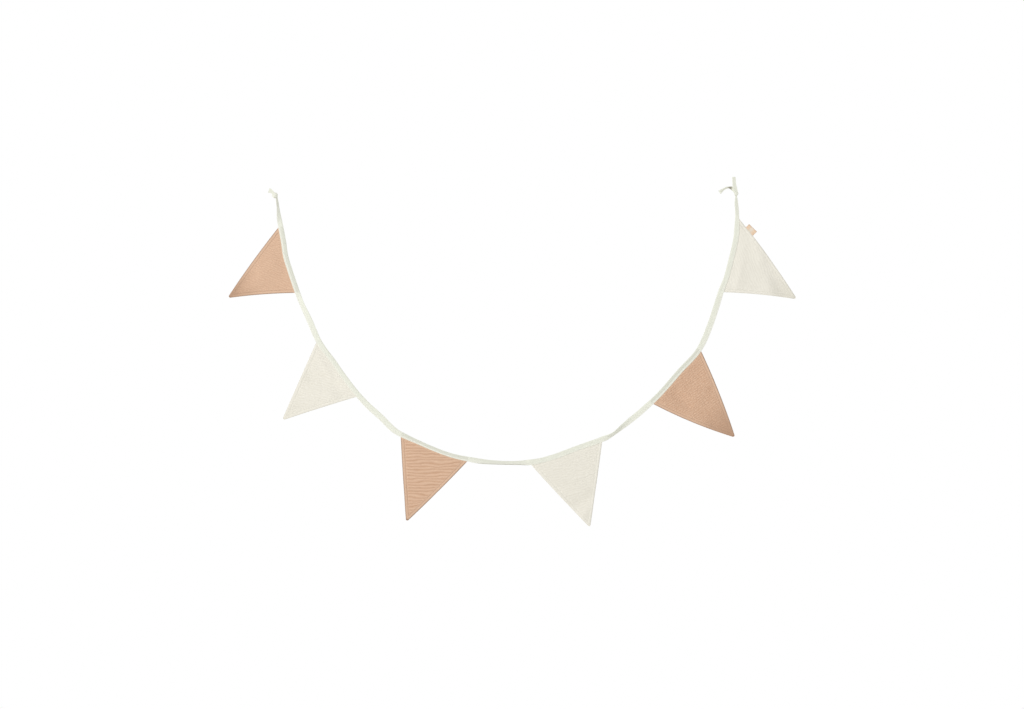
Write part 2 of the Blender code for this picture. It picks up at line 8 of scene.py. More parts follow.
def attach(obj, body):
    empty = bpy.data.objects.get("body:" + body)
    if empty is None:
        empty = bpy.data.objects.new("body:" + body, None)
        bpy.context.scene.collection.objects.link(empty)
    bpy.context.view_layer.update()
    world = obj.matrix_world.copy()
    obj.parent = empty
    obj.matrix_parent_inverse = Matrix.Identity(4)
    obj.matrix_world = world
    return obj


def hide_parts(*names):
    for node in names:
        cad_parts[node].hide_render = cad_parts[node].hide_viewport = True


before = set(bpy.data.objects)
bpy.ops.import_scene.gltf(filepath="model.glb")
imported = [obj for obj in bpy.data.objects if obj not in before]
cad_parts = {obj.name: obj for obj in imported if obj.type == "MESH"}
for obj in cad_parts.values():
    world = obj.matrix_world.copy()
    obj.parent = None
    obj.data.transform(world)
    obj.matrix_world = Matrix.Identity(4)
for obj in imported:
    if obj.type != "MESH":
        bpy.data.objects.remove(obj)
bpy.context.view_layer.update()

# The bias tape
# A strip of plain cotton muslin, cut on the bias, pressed in half along its length and sewn shut
# near its open edge.  The flags' raw edges are caught inside it, and it twists a little between them.
# Sizes are in millimetres.  OUTER: from the middle line to the fold; RISE: the length over which the
# tape fills out beside a flag; GATHERED: share of the width left at a knot; SLOT and LIPS: the slit
# that holds a flag, and the closed or gaping edge between flags; GAP: the clearance round a flag.
MM = 0.001
TAPE_OUTER = 6.8
TAPE_THICK = 2.0
TAPE_THICK_OVER_FLAG = 3.4
TAPE_RISE = 9.0
TAPE_FULL_PAST_FLAG = 3.0
TAPE_GATHERED = 0.45
TAPE_GATHER_RUN = 24.0
TAPE_DIRECTION_REACH = 6.0
TAPE_STEP = 3.0
SLOT_TOP = -2.5
SLOT_HALF = 0.85
LIPS_DEEP = 0.7
LIPS_HALF = 0.08
TURNED_LIPS_DEEP = 3.5
TURNED_LIPS_HALF = 0.6
LIP_FROM = 0.7
GAPE_FULL_AT = 0.6
KNOT_CREASE = 0.30
GAP = 0.3
BACK_SHIFT_ON_MAP = 20
FRONT, BACK = -1, 1

# Slow changes along the tape.  Columns: height, length, seed of the noise
INNER_WANDER = (0.25, 17, 3.0)
OUTER_WANDER = (0.3, 23, 7.0)
SWAY = (0.22, 14, 5.0)

# The stitches draw small puckers into the cloth on both sides of their row
PUCKER_HEIGHT = 0.16
PUCKER_SPACING = 1.15
PUCKER_SPREAD = 0.16

# x, z: the middle line, in the flags' plane; inner: from it to the open edge, which faces the flags;
# roll: the tape's turn about its own length, in degrees
TAPE_COLUMNS = ("x", "z", "inner", "roll")
TAPE_ROUTE = (
    (-551, -5, 2.6, -35), (-549.3, -31, 0.2, -46), (-545.2, -58, 4.4, -24), (-540, -84, 5.6, 0),
    (-534, -116, 5.6, 0), (-529, -150, 5.6, 0), (-520, -180, 5.6, 0), (-502, -234, 5.6, 0),
    (-489, -266, 6.2, 28), (-471, -304, 7.3, 10), (-447, -358, 6.6, 0), (-413, -405, 5.6, 0),
    (-393, -434, 5.6, 0), (-360, -477, 5.8, 0), (-333, -506, 7.6, 0), (-301, -535, 7.6, 6),
    (-272, -564, 7.4, 0), (-250, -579, 5.6, 0), (-209, -599, 3.4, 0), (-175, -614, 3.2, 0),
    (-134, -629, 3.2, 0), (-95, -637.5, 4.6, 0), (-55, -642.5, 7.0, -40), (-13, -645.5, 6.4, -54),
    (30, -646, 6.4, -50), (61, -644.5, 6.6, -8), (88, -640, 5.6, 0), (125, -629, 5.6, 0),
    (164, -614, 5.6, 0), (226, -592, 5.8, 0), (255, -578, 7.2, 56), (281, -558, 7.0, 36),
    (310, -535, 6.8, 0), (337, -512, 6.6, 0), (368, -483, 5.6, 0), (394, -454, 5.6, 0),
    (419, -425, 5.6, 0), (447, -396, 5.6, 0), (463, -376, 6.0, 0), (477, -348, 7.6, 4),
    (494, -304, 7.6, 0), (508, -261, 7.4, 4), (518, -231, 6.4, 0), (529, -204, 5.6, 0),
    (537, -175, 5.6, 0), (551, -117, 5.6, 0), (555, -84, 5.6, 0), (557, -48, 2.6, 12),
    (553, -1, 2.6, 24),
)

# Places along the tape where the two corners of each flag in turn are sewn in, and how far the
# single layer next to the fold is painted greyer there: partly the flag's cloth seen through it, partly
# painted shade on the rounded fold
FLAGS_IN_TAPE = (
    ((-548, -82), (-501, -236), 1.0),
    ((-454, -357), (-356, -485), 0.12),
    ((-253, -586), (-94, -649), 1.0),
    ((61, -650), (230, -594), 0.12),
    ((356, -507), (470, -379), 1.0),
    ((519, -235), (558, -61), 0.12),
)

# Section of one leg, from the fold to the open edge: share of the width, half thickness as a share.
# The turned-in hem starts at HEM_FOLD and the stitches lie in the dip at STITCH_DIP.
HEM_FOLD = 0.64
STITCH_DIP = 0.80
TAPE_SECTION = (
    (0.000, 0.06), (0.012, 0.20), (0.05, 0.34), (0.13, 0.44), (0.30, 0.50), (0.50, 0.49),
    (0.61, 0.45), (0.65, 0.50), (0.74, 0.50), (0.78, 0.44), (STITCH_DIP, 0.37), (0.82, 0.44),
    (0.86, 0.51), (0.94, 0.52), (0.985, 0.44), (1.0, 0.30),
)


def ease(value):
    """Smooth step from 0 to 1."""
    value = np.clip(value, 0.0, 1.0)
    return value * value * (3 - 2 * value)


def unit(vectors):
    """The same directions with a length of one."""
    return vectors / np.linalg.norm(vectors, axis=-1, keepdims=True)


def arc_lengths(track):
    """Length along a polyline at each of its points."""
    return np.concatenate(([0.0], np.cumsum(np.linalg.norm(np.diff(track, axis=0), axis=1))))


def at_length(lengths, along, track):
    """Places on a polyline whose points lie at the lengths along."""
    return np.column_stack([np.interp(lengths, along, column) for column in track.T])


def smooth_rows(rows, per_span):
    """Catmull-Rom curve through the rows of a table, every column treated alike."""
    points = np.array(rows, dtype=float)
    points = np.vstack((2 * points[0] - points[1], points, 2 * points[-1] - points[-2]))
    dense = []
    for p0, p1, p2, p3 in zip(points, points[1:], points[2:], points[3:]):
        for step in range(per_span):
            t = step / per_span
            dense.append(0.5 * (2 * p1 + (p2 - p0) * t + (2 * p0 - 5 * p1 + 4 * p2 - p3) * t ** 2
                                + (3 * p1 - p0 - 3 * p2 + p3) * t ** 3))
    dense.append(points[-2])
    return np.array(dense)


def gaps_to_line(points, track):
    """Distance from each point to a polyline, with the arc length of the place that is nearest."""
    starts = track[:-1]
    spans = np.diff(track, axis=0)
    lengths = np.linalg.norm(spans, axis=1)
    along = arc_lengths(track)
    share = np.einsum("pkd,kd->pk", points[:, None] - starts[None], spans)
    share = np.clip(share / np.maximum(lengths ** 2, 1e-9), 0.0, 1.0)
    gaps = np.linalg.norm(starts[None] + spans[None] * share[..., None] - points[:, None], axis=-1)
    best = np.argmin(gaps, axis=1)
    picked = np.arange(len(points))
    return gaps[picked, best], along[best] + share[picked, best] * lengths[best]


class TapeLine:
    """Middle line of the tape, read by its arc length."""

    def __init__(self, route):
        self.rows = smooth_rows(route, 8)
        self.along = arc_lengths(self.rows[:, :2])
        self.length = float(self.along[-1])

    def value(self, s, column):
        return np.interp(s, self.along, self.rows[:, TAPE_COLUMNS.index(column)])

    def place(self, s):
        return np.stack((self.value(s, "x"), self.value(s, "z")), axis=-1)

    def down(self, s):
        """Unit vector in the XZ plane from the tape towards the flags."""
        after = self.place(np.minimum(s + TAPE_DIRECTION_REACH, self.length))
        ahead = unit(after - self.place(np.maximum(s - TAPE_DIRECTION_REACH, 0.0)))
        return np.stack((ahead[..., 1], -ahead[..., 0]), axis=-1)

    def below(self, s, offset):
        return self.place(s) + self.down(s) * np.asarray(offset)[..., None]

    def nearest(self, points):
        return gaps_to_line(np.atleast_2d(np.array(points, dtype=float)), self.rows[:, :2])[1]

    def depth_below(self, points):
        """How far each point lies below the tape's open edge, negative inside the tape."""
        s = self.nearest(points)
        return np.sum((points - self.place(s)) * self.down(s), axis=-1) - self.value(s, "inner")


def cloth_noise(x, y, seed):
    """Smooth noise from -1 to 1 at each pair of coordinates."""
    x, y = np.broadcast_arrays(x, y)
    values = [noise.noise((a, b, seed)) for a, b in zip(x.ravel(), y.ravel())]
    return np.array(values).reshape(x.shape)


def wander(s, height, length, seed):
    """A slow change along a length of cloth."""
    return height * cloth_noise(s / length, 0.0, seed)


def add_cloth(name, points, faces, uvs=None, values=None):
    """A smooth mesh object from points in millimetres, with its UV map in metres of flat cloth."""
    mesh = bpy.data.meshes.new(name)
    mesh.from_pydata((points * MM).tolist(), [], faces)
    if uvs is not None:
        layer = mesh.uv_layers.new(name="flat_cloth")
        corners = np.zeros(len(mesh.loops), dtype=int)
        mesh.loops.foreach_get("vertex_index", corners)
        layer.data.foreach_set("uv", (uvs[corners] * MM).ravel())
    for title, numbers in (values or {}).items():
        mesh.attributes.new(title, "FLOAT", "POINT").data.foreach_set("value", numbers)
    mesh.validate()
    mesh.shade_smooth()
    piece = bpy.data.objects.new(name, mesh)
    bpy.context.scene.collection.objects.link(piece)
    return piece


def ring_faces(rows, columns, endless=False):
    """Quads round a tube of rows, each a ring of columns points.  Its two ends are closed, or it is
    endless and runs back into itself."""
    faces = []
    for row in range(rows if endless else rows - 1):
        low = row * columns
        high = (row + 1) % rows * columns
        for column in range(columns):
            after = (column + 1) % columns
            faces.append((low + column, low + after, high + after, high + column))
    if not endless:
        faces.append(tuple(range(columns))[::-1])
        faces.append(tuple((rows - 1) * columns + column for column in range(columns)))
    return faces


line = TapeLine(TAPE_ROUTE)
sewn = [(float(line.nearest(a)[0]), float(line.nearest(b)[0]), through_and_shade)
        for a, b, through_and_shade in FLAGS_IN_TAPE]

stations = set(np.linspace(0.0, line.length, round(line.length / TAPE_STEP) + 1).tolist())
for start, end, _ in sewn:
    stations = {s for s in stations if min(abs(s - start), abs(s - end)) > 2 * GAP}
    stations |= {start - GAP, start - 0.5 * GAP, end + 0.5 * GAP, end + GAP}
stations = np.array(sorted(stations))

outside = np.full(len(stations), np.inf)
seen_through_and_shade = np.zeros(len(stations))
for start, end, through_and_shade in sewn:
    away = np.maximum(np.maximum(start - stations, stations - end), 0.0)
    outside = np.minimum(outside, away)
    seen_through_and_shade = np.maximum(seen_through_and_shade, through_and_shade * ease(1 - away / 2))
filled = ease((TAPE_FULL_PAST_FLAG - outside) / TAPE_RISE + 1)
slit = outside < 0.75 * GAP
to_knot = np.minimum(stations, line.length - stations)
gathered = TAPE_GATHERED + (1 - TAPE_GATHERED) * ease(to_knot / TAPE_GATHER_RUN)

inner = line.value(stations, "inner") + wander(stations, *INNER_WANDER) * (1 - filled)
outer = TAPE_OUTER + wander(stations, *OUTER_WANDER)
thick = TAPE_THICK + (TAPE_THICK_OVER_FLAG - TAPE_THICK) * filled
roll = np.radians(line.value(stations, "roll") * (1 - filled))
pucker = PUCKER_HEIGHT * np.sin(stations / PUCKER_SPACING + wander(stations, 2.0, 9, 11.0))
sway = wander(stations, *SWAY)

# Where the tape is turned about its length, its open edge gapes a little, and its inside there is
# painted dark as shade
gape = ease(np.abs(np.sin(roll)) / GAPE_FULL_AT)
gape_half = (TURNED_LIPS_HALF - LIPS_HALF) * gape
leg = []
for across, half in TAPE_SECTION:
    w = (across * (inner + outer) - outer) * gathered
    crease = KNOT_CREASE * (1 - gathered) * math.sin(9 * across)
    near_stitch = math.exp(-((across - STITCH_DIP) / PUCKER_SPREAD) ** 2)
    y = thick * half + pucker * near_stitch + crease * TAPE_THICK
    y += gape_half * ease((across - LIP_FROM) / (1 - LIP_FROM))
    leg.append((w, y, across, 0.0))

# The slit between the legs: deep and wide where it holds a flag, shut or gaping elsewhere
lip_half = np.where(slit, SLOT_HALF, LIPS_HALF + gape_half)
slot_deep = np.where(slit, SLOT_TOP,
                     inner * gathered - LIPS_DEEP - (TURNED_LIPS_DEEP - LIPS_DEEP) * gape)
# The last number of each point is its share of the painted shade inside the slit
slot_leg = [(inner * gathered - 0.25, np.maximum(lip_half, 0.12 * thick), 1.0, 0.3),
            (slot_deep, 0.5 * lip_half, 0.98, 1.0)]

ring = []
for face, legs in ((FRONT, leg + slot_leg), (BACK, (leg + slot_leg)[::-1])):
    for w, half, across, inside in legs:
        y = face * half + sway * (1 - filled)
        flat_w = w * np.cos(roll) - y * np.sin(roll)
        depth = w * np.sin(roll) + y * np.cos(roll)
        place = line.below(stations, flat_w)
        shares = np.tile((across, inside), (len(stations), 1))
        ring.append(np.column_stack((place[:, 0], depth, place[:, 1], stations,
                                     w + face * BACK_SHIFT_ON_MAP, shares)))
ring = np.stack(ring, axis=1)
tape_points = ring[..., :3].reshape(-1, 3)
tape_uvs = ring[..., 3:5].reshape(-1, 2)
across = ring[..., 5]
# The single layer by the fold is painted greyer: partly the flag inside seen through it, partly painted
# shade on the rounded fold
see_through_and_shade = (seen_through_and_shade[:, None] * ease((HEM_FOLD + 0.02 - across) / 0.05)
               * ease((across - 0.02) / 0.1))
# The turned-in hem is painted lighter: a painted highlight where it catches the light
hem_highlight = ease((across - HEM_FOLD + 0.01) / 0.04)
tape_cloth = add_cloth("tape_cloth", tape_points, ring_faces(*ring.shape[:2]), tape_uvs,
                       {"see_through_and_shade": see_through_and_shade.ravel(), "hem_highlight": hem_highlight.ravel(),
                        "inside": ring[..., 6].ravel()})


def linear(code):
    """Linear RGBA of an sRGB hex colour."""
    parts = [int(code[i:i + 2], 16) / 255 for i in (1, 3, 5)]
    return (*[p / 12.92 if p <= 0.04045 else ((p + 0.055) / 1.055) ** 2.4 for p in parts], 1.0)


def add_node(tree, kind, inputs=None, **settings):
    """Add a node, set its properties, and give its inputs values or other nodes' outputs."""
    node = tree.nodes.new(kind)
    for name, value in settings.items():
        setattr(node, name, value)
    for name, value in (inputs or {}).items():
        if isinstance(value, bpy.types.NodeSocket):
            tree.links.new(value, node.inputs[name])
        else:
            node.inputs[name].default_value = value
    return node


def new_material(name, surface):
    """A material, its node tree and its shader, with the shader's inputs for the surface set."""
    material = bpy.data.materials.new(name)
    material.use_nodes = True
    shader = material.node_tree.nodes["Principled BSDF"]
    for title, value in surface.items():
        shader.inputs[title].default_value = value
    return material, material.node_tree, shader


def tinted(tree, tone, masks):
    """The tone with other colours mixed in where attributes of the mesh say so.
    masks lists each attribute with the colour that it brings in and its share."""
    for attribute, tint, share in masks:
        where = add_node(tree, "ShaderNodeAttribute", attribute_name=attribute).outputs["Fac"]
        factor = add_node(tree, "ShaderNodeMath", {0: where, 1: share}, operation="MULTIPLY").outputs[0]
        tone = add_node(tree, "ShaderNodeMix", {0: factor, 6: tone, 7: linear(tint)},
                        data_type="RGBA").outputs[2]
    return tone


# Plain woven cotton: matt, with a dry sheen from its fibre ends.  Threads lie one millimetre apart,
# a little coarser than real muslin's, so that a close view shows them.
THREAD_SPACING = 1.0
SLUB_LENGTH = 14.0
SLUB_STRETCH = 0.16
MOTTLE_SIZE = 22.0


def band_scale(spacing):
    """Scale of a band texture whose lines lie this many millimetres apart."""
    return 2 * math.pi / (20 * spacing * MM)


def woven_cotton(name, colour, shaded, sheen, source, turn, masks=()):
    """Muslin whose weave runs along the flat cloth or along the object's axes, turned by an angle."""
    material, tree, shader = new_material(name, {
        "Roughness": 0.92, "Specular IOR Level": 0.22, "Sheen Weight": sheen, "Sheen Roughness": 0.55,
        "Sheen Tint": linear("#FFF6EA")})
    if source == "flat_cloth":
        coordinates = add_node(tree, "ShaderNodeUVMap", uv_map="flat_cloth").outputs["UV"]
    else:
        coordinates = add_node(tree, "ShaderNodeTexCoord").outputs["Object"]
    cloth = add_node(tree, "ShaderNodeMapping",
                     {"Vector": coordinates, "Rotation": turn}).outputs["Vector"]

    threads = []
    across_axis = "Y" if source == "flat_cloth" else "Z"
    for direction in ("X", across_axis):
        wave = add_node(tree, "ShaderNodeTexWave",
                        {"Vector": cloth, "Scale": band_scale(THREAD_SPACING), "Distortion": 1.6,
                         "Detail": 1.0, "Detail Scale": 0.12},
                        wave_type="BANDS", bands_direction=direction)
        threads.append(wave.outputs["Fac"])
    weave = add_node(tree, "ShaderNodeMath", {0: threads[0], 1: threads[1]},
                     operation="MAXIMUM").outputs[0]
    stretch = (SLUB_STRETCH, 1.0 if source == "flat_cloth" else SLUB_STRETCH, 1.0)
    long_way = add_node(tree, "ShaderNodeMapping", {"Vector": cloth, "Scale": stretch}).outputs["Vector"]
    slub = add_node(tree, "ShaderNodeTexNoise",
                    {"Vector": long_way, "Scale": 1 / (SLUB_LENGTH * SLUB_STRETCH * MM),
                     "Detail": 2.0}).outputs["Fac"]
    mottle = add_node(tree, "ShaderNodeTexNoise", {"Vector": cloth, "Scale": 1 / (MOTTLE_SIZE * MM),
                      "Detail": 3.0}).outputs["Fac"]

    uneven = add_node(tree, "ShaderNodeMix", {0: 0.45, 2: slub, 3: mottle}, data_type="FLOAT").outputs[0]
    patchy = add_node(tree, "ShaderNodeMapRange", {"Value": uneven, "From Min": 0.36, "From Max": 0.64,
                      "To Min": 0.0, "To Max": 0.25}).outputs["Result"]
    tone = add_node(tree, "ShaderNodeMix", {0: patchy, 6: linear(colour), 7: linear(shaded)},
                    data_type="RGBA").outputs[2]
    tree.links.new(tinted(tree, tone, masks), shader.inputs["Base Color"])

    raised = add_node(tree, "ShaderNodeMix", {0: 0.3, 2: weave, 3: slub}, data_type="FLOAT").outputs[0]
    bump = add_node(tree, "ShaderNodeBump", {"Height": raised, "Strength": 0.35, "Distance": 0.25 * MM})
    tree.links.new(bump.outputs["Normal"], shader.inputs["Normal"])
    return material


BIAS = math.radians(45)
# Painted on the tape: greyer by the fold, partly the flag seen through and partly shade; a highlight on
# the hem; shade inside the gaping open edge
tape_muslin = woven_cotton(
    "bleached_cotton_muslin_tape", "#E9EADD", "#DEDFD0", 0.2, "flat_cloth", (0.0, 0.0, BIAS),
    (("see_through_and_shade", "#D3D3C6", 0.65), ("hem_highlight", "#F2F1E8", 0.4), ("inside", "#958F80", 0.95)))
tape_cloth.data.materials.append(tape_muslin)
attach(tape_cloth, "root")
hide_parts("tape")

# The ties
# Each end of the tape is tied in a small hard knot, and what is left of it hangs or stands free.
# The left end leaves one short tail, the right end one that stands up and one that curls over.
KNOT_BAND_THICK = 2.2
KNOT_STEPS = 40

# The ball inside a knot, as shares of the knot's half width
KNOT_CORE = 0.95
KNOT_CORE_TALL = 1.3
TAIL_THICK = 1.8
TIE_VOXEL = 0.42
TIE_SOFTEN_STEPS = 4
TIE_CRUMPLE = 0.16
TIE_CRUMPLE_SIZE = 3.2
TIE_FINE_CRUMPLE_SIZE = 1.5

# Knots.  Columns: centre, and the turns of the tape round it, each as half width, half depth,
# width of the band and lean in degrees
KNOTS = {
    "left_tie": ((-554.2, 0, -4), ((5.4, 4.6, 7.0, 34), (5.0, 3.9, 6.6, -34))),
    "right_tie": ((553, 0, 0), ((3.9, 3.9, 5.4, 28), (3.5, 3.3, 5.0, -38))),
}

# Tails, from the knot to the cut end.  Columns: x, y, z, width, roll
TAILS = {
    "left_tie": (
        ((-554.2, 0.0, -4, 7.0, 20), (-557.5, 0.0, 0, 6.5, 20), (-560, 0.0, 3, 7.5, 0),
         (-564, 0.0, 6, 10.0, 0), (-569, 0.0, 8, 12.0, 0)),
    ),
    "right_tie": (
        ((553, -1.0, 0, 8.0, 0), (551, -2.4, 9, 9.5, 10), (548.5, -2.4, 20, 9.0, 0),
         (547.5, -2.4, 30, 8.6, 0), (547, -2.4, 40, 8.6, 0)),
        ((553, 1.0, 2, 8.0, 0), (549, 2.8, 9, 11.0, -12), (541, 3.2, 14, 10.0, -48),
         (532, 3.0, 15, 7.5, -66), (522, 2.6, 10, 7.0, -44), (513, 2.2, 3, 10.0, 0)),
    ),
}

# Section of a flat tail: share of the width, half thickness as a share
TAIL_SECTION = ((-0.5, 0.1), (-0.48, 0.34), (-0.42, 0.46), (-0.2, 0.5), (0.1, 0.48), (0.3, 0.46),
                (0.36, 0.34), (0.42, 0.46), (0.48, 0.36), (0.5, 0.1))


def tail_rings(rows):
    """Rings of points along a flat free end of the tape."""
    dense = smooth_rows(rows, 10)
    way = unit(np.gradient(dense[:, [0, 2]], axis=0))
    turn = np.radians(dense[:, 4])
    rings = []
    for face, section in ((FRONT, TAIL_SECTION), (BACK, TAIL_SECTION[::-1])):
        for across, half in section:
            w = across * dense[:, 3]
            lift = face * half * TAIL_THICK + 0.3 * np.sin(5 * across + dense[:, 0] / 3)
            flat_w = w * np.cos(turn) - lift * np.sin(turn)
            depth = dense[:, 1] + w * np.sin(turn) + lift * np.cos(turn)
            rings.append(np.column_stack((dense[:, 0] + way[:, 1] * flat_w, depth,
                                          dense[:, 2] - way[:, 0] * flat_w)))
    return np.stack(rings, axis=1)


def wrap_rings(centre, half_width, half_depth, band, lean):
    """Rings of points along one turn of the tape round a knot."""
    turn = math.radians(lean)
    out = np.array((math.cos(turn), 0.0, math.sin(turn)))
    along = np.array((-math.sin(turn), 0.0, math.cos(turn)))
    depth = np.array((0.0, 1.0, 0.0))
    rings = []
    for step in range(KNOT_STEPS):
        angle = 2 * math.pi * step / KNOT_STEPS
        radial = out * math.cos(angle) * half_width + depth * math.sin(angle) * half_depth
        slack = 1 + 0.05 * math.sin(3 * angle + lean)
        for outward, section in ((1, TAIL_SECTION), (-1, TAIL_SECTION[::-1])):
            for across, half in section:
                place = centre + radial * slack * (1 + outward * half * KNOT_BAND_THICK / half_depth)
                rings.append(place + along * across * band * (1 + 0.08 * math.sin(2 * angle)))
    return np.array(rings).reshape(KNOT_STEPS, -1, 3)


def turn_faces_out(piece):
    """Select a closed piece and point all its faces outwards."""
    bpy.ops.object.select_all(action="DESELECT")
    piece.select_set(True)
    bpy.context.view_layer.objects.active = piece
    bpy.ops.object.mode_set(mode="EDIT")
    bpy.ops.mesh.select_all(action="SELECT")
    bpy.ops.mesh.normals_make_consistent(inside=False)
    bpy.ops.object.mode_set(mode="OBJECT")


# The tie's cloth, with painted shade inside the curled tail's hollow
tie_muslin = woven_cotton("bleached_cotton_muslin_tie", "#E9EADD", "#DADBCB", 0.2, "object",
                          (0.0, BIAS, 0.0), (("hollow_shade", "#857E70", 0.8),))

# The curled tail of the right tie gapes where it leaves the knot, and little light reaches its inside,
# so its downward faces there are painted dark as shade
HOLLOW_FROM = 529.0
HOLLOW_TO = 545.0

for name, (centre, wraps) in KNOTS.items():
    bpy.ops.object.select_all(action="DESELECT")
    bpy.ops.mesh.primitive_ico_sphere_add(subdivisions=4, radius=1.0)
    tie = bpy.context.object
    tie.name = tie.data.name = name
    half_width, half_depth = wraps[0][:2]
    size = (half_width * KNOT_CORE * MM, half_depth * KNOT_CORE * MM, half_width * KNOT_CORE_TALL * MM)
    bpy.ops.transform.resize(value=size)
    bpy.ops.transform.translate(value=[c * MM for c in centre])
    bpy.ops.object.transform_apply()
    parts = [(wrap_rings(np.array(centre), *wrap), True) for wrap in wraps]
    parts += [(tail_rings(rows), False) for rows in TAILS[name]]
    for rings, endless in parts:
        faces = ring_faces(*rings.shape[:2], endless)
        add_cloth(name + "_part", rings.reshape(-1, 3), faces).select_set(True)
    bpy.ops.object.join()
    turn_faces_out(tie)
    fuse = tie.modifiers.new("fuse", "REMESH")
    fuse.mode = "VOXEL"
    fuse.voxel_size = TIE_VOXEL * MM
    soften = tie.modifiers.new("soften", "SMOOTH")
    soften.factor = 0.5
    soften.iterations = TIE_SOFTEN_STEPS
    bpy.ops.object.modifier_apply(modifier="fuse")
    bpy.ops.object.modifier_apply(modifier="soften")
    for vert in tie.data.vertices:
        crumple = (noise.noise(vert.co / (TIE_CRUMPLE_SIZE * MM))
                   + 0.5 * noise.noise(vert.co / (TIE_FINE_CRUMPLE_SIZE * MM)))
        vert.co += vert.normal * crumple * TIE_CRUMPLE * MM
    hollow_shade = [float(ease(-2.5 * v.normal.z) * ease((v.co.x / MM - HOLLOW_FROM) / 9)
                    * ease((HOLLOW_TO - v.co.x / MM) / 5)) for v in tie.data.vertices]
    tie.data.attributes.new("hollow_shade", "FLOAT", "POINT").data.foreach_set("value", hollow_shade)
    tie.data.materials.clear()
    tie.data.materials.append(tie_muslin)
    bpy.ops.object.shade_smooth()
    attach(tie, "root")
    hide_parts("tape")

# The row of stitches that shuts the tape
# Cotton thread in the dip near the open edge, through both legs, so it shows on the back too.
STITCH_LENGTH = 2.3
STITCH_PITCH = 3.0
STITCH_HALF_WIDTH = 0.27
STITCH_HALF_HEIGHT = 0.2
STITCH_ABOVE_TAPE = 0.12
FIBRE_SIZE = 0.6
FIRST_STITCH = 12.0

# One stitch: share of its half length, thickness as a share
STITCH_RINGS = ((-1.0, 0.2), (-0.65, 1.0), (0.65, 1.0), (1.0, 0.2))
STITCH_SIDES = 5


def square_to(ways, outs):
    """The outs, each turned until it stands square to its way."""
    return unit(outs - ways * np.sum(outs * ways, axis=1)[:, None])


def add_stitches(name, places, ways, outs, material):
    """One bead of thread at each place, lying along its way, with outs pointing off the cloth."""
    beside = np.cross(ways, outs)
    beads = []
    for run, girth in STITCH_RINGS:
        for side in range(STITCH_SIDES):
            angle = 2 * math.pi * side / STITCH_SIDES
            beads.append(places + ways * run * STITCH_LENGTH / 2
                         + beside * math.cos(angle) * girth * STITCH_HALF_WIDTH
                         + outs * math.sin(angle) * girth * STITCH_HALF_HEIGHT)
    points = np.stack(beads, axis=1).reshape(-1, 3)
    one = ring_faces(len(STITCH_RINGS), STITCH_SIDES)
    step = len(STITCH_RINGS) * STITCH_SIDES
    faces = [tuple(i + bead * step for i in face) for bead in range(len(places)) for face in one]
    thread = add_cloth(name, points, faces)
    thread.data.materials.append(material)
    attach(thread, "root")
    return thread


def sewing_thread(name, colour):
    """Spun cotton thread: a finer, slightly smoother surface than the cloth's, with a faint twist."""
    material, tree, shader = new_material(name, {
        "Roughness": 0.7, "Specular IOR Level": 0.3, "Sheen Weight": 0.15})
    place = add_node(tree, "ShaderNodeTexCoord").outputs["Object"]
    fibres = add_node(tree, "ShaderNodeTexNoise",
                      {"Vector": place, "Scale": 1 / (FIBRE_SIZE * MM)}).outputs["Fac"]
    tone = add_node(tree, "ShaderNodeMix", {0: fibres, 6: linear(colour), 7: linear("#FFFFFF")},
                    data_type="RGBA", blend_type="MULTIPLY").outputs[2]
    tree.links.new(tone, shader.inputs["Base Color"])
    bump = add_node(tree, "ShaderNodeBump", {"Height": fibres, "Strength": 0.3, "Distance": 0.1 * MM})
    tree.links.new(bump.outputs["Normal"], shader.inputs["Normal"])
    return material


cream_thread = sewing_thread("cream_cotton_thread", "#E4E3D5")
tan_thread = sewing_thread("tan_cotton_thread", "#CDA78A")

spots = np.arange(FIRST_STITCH, line.length - FIRST_STITCH, STITCH_PITCH)
columns = len(ring[0])
dip = [share for share, _ in TAPE_SECTION].index(STITCH_DIP)
places, ways, outs = [], [], []
for index, beside_index, face in ((dip, dip + 1, FRONT),
                                  (columns - 1 - dip, columns - 2 - dip, BACK)):
    middle = at_length(spots, stations, ring[:, index, :3])
    beside = at_length(spots, stations, ring[:, beside_index, :3])
    way = unit(at_length(spots + 1, stations, ring[:, index, :3]) - middle)
    places.append(middle)
    ways.append(way)
    outs.append(unit(np.cross(way, beside - middle)) * face)
ways = np.vstack(ways)
outs = square_to(ways, np.vstack(outs))
tape_stitches = add_stitches("tape_stitches", np.vstack(places) + outs * STITCH_ABOVE_TAPE, ways, outs,
                             cream_thread)

# The flags
# Each is two triangles of crinkled double muslin, sewn right sides together along the two sloping
# sides, turned out and topstitched there.  The raw top edge is caught inside the tape.
FLAG_TOP = SLOT_TOP + GAP
FLAG_HALF_IN_TAPE = 0.62
FLAG_SEAM = 7.5
FLAG_SWELL = 3.0
FLAG_TIP_RADIUS = 3.6
FLAG_FOLDS_BELOW = 25.0
DEEPEST_CRINKLE = 0.66
FINE_CRINKLE = 0.07
SEAM_PUCKER_SPACING = 0.95
SEAM_PUCKER_SPREAD = 3.2
FLAG_FIRST_STITCH = 3.0
STITCH_ABOVE_FLAG = 0.08
FLAG_BACK_SHIFT_ON_MAP = 400
FLAG_ROWS = 118
TIP_STEPS = 6

# Half thickness of a flag by the distance from its side: the turned edge is plump with its seam
# allowance, and the topstitching draws both layers together
FLAG_HALF = ((0.0, 0.10), (0.4, 0.58), (1.1, 0.96), (2.2, 1.30), (3.6, 1.40), (5.0, 1.26), (6.2, 1.02),
             (7.0, 0.78), (7.5, 0.66), (8.0, 0.78), (8.9, 0.95), (10.2, 1.0))
INSETS = [inset for inset, _ in FLAG_HALF]
